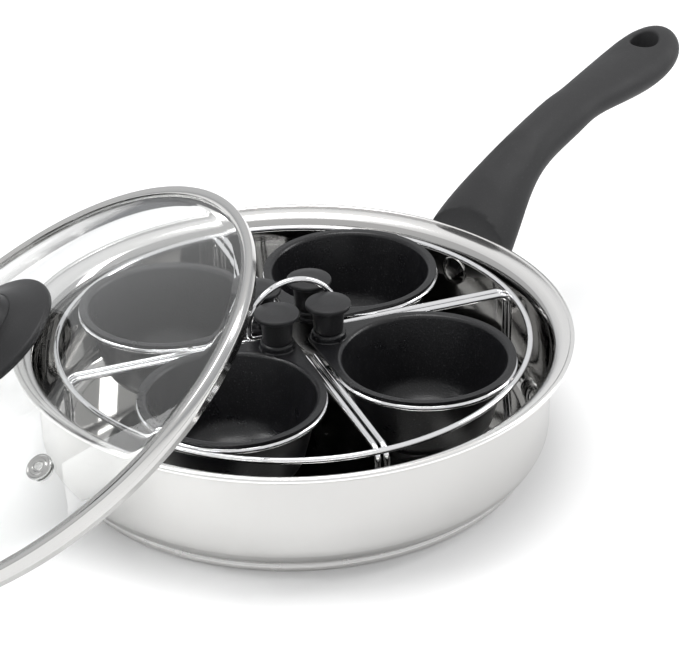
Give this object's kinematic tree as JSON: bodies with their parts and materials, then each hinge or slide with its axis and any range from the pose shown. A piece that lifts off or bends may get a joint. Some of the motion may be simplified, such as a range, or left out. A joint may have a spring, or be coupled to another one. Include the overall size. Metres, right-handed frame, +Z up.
{
  "type": "egg poacher pan",
  "caption": "Steel frying pan with a wire rack that holds lift-out egg cups, a long curved handle and a domed glass lid leaning on its side",
  "frame": {"origin": "centre of the base's underside, on the table", "axes": "+X from the pan's centre towards the handle, +Z up, +Y to the left of the handle"},
  "size_m": [0.4529, 0.2406, 0.1172],
  "materials": {
    "pan_steel": "bright polished outside, satin inside",
    "base_steel": "spun satin",
    "core_aluminium": "plain",
    "bracket_steel": "plain pressed",
    "screw_steel": "plain",
    "rack_chrome": "bright plated wire",
    "cup_coating": "satin non-stick coating",
    "handle_black": "fine satin moulding",
    "knob_black": "satin moulding",
    "lid_glass": "clear tempered",
    "band_steel": "polished"
  },
  "bodies": {
    "pan": {"pan_shell": "pan_steel", "base_core": "core_aluminium", "base_cap": "base_steel", "handle_rivet": "pan_steel", "handle_bracket": "bracket_steel", "handle_grip": "handle_black", "handle_screw": "screw_steel"},
    "rack": {"rack_ring": "rack_chrome", "back_spoke": "rack_chrome", "lid_spoke": "rack_chrome", "front_spoke": "rack_chrome", "handle_spoke": "rack_chrome", "rear_cup_ring": "rack_chrome", "left_cup_ring": "rack_chrome", "front_cup_ring": "rack_chrome", "right_cup_ring": "rack_chrome", "lifting_loop": "rack_chrome"},
    "rear_cup": {"egg_cup_rear": "cup_coating", "cup_knob_rear": "knob_black", "knob_screw_rear": "screw_steel"},
    "left_cup": {"egg_cup_left": "cup_coating", "cup_knob_left": "knob_black", "knob_screw_left": "screw_steel"},
    "front_cup": {"egg_cup_front": "cup_coating", "cup_knob_front": "knob_black", "knob_screw_front": "screw_steel"},
    "right_cup": {"egg_cup_right": "cup_coating", "cup_knob_right": "knob_black", "knob_screw_right": "screw_steel"},
    "lid": {"lid_glass": "lid_glass", "lid_band": "band_steel", "lid_vent": "band_steel", "lid_knob": "knob_black", "lid_screw": "screw_steel", "lid_washer": "screw_steel"}
  },
  "joints": [
    {"name": "lid_lift", "type": "slide", "parent": "pan", "child": "lid", "axis": [0, 0, 1], "range_m": [0, 0.12]},
    {"name": "rack_lift", "type": "slide", "parent": "pan", "child": "rack", "axis": [0, 0, 1], "range_m": [0, 0.02]},
    {"name": "rear_cup_lift", "type": "slide", "parent": "rack", "child": "rear_cup", "axis": [0, 0, 1], "range_m": [0, 0.045]},
    {"name": "left_cup_lift", "type": "slide", "parent": "rack", "child": "left_cup", "axis": [0, 0, 1], "range_m": [0, 0.02]},
    {"name": "front_cup_lift", "type": "slide", "parent": "rack", "child": "front_cup", "axis": [0, 0, 1], "range_m": [0, 0.035]},
    {"name": "right_cup_lift", "type": "slide", "parent": "rack", "child": "right_cup", "axis": [0, 0, 1], "range_m": [0, 0.045]}
  ]
}
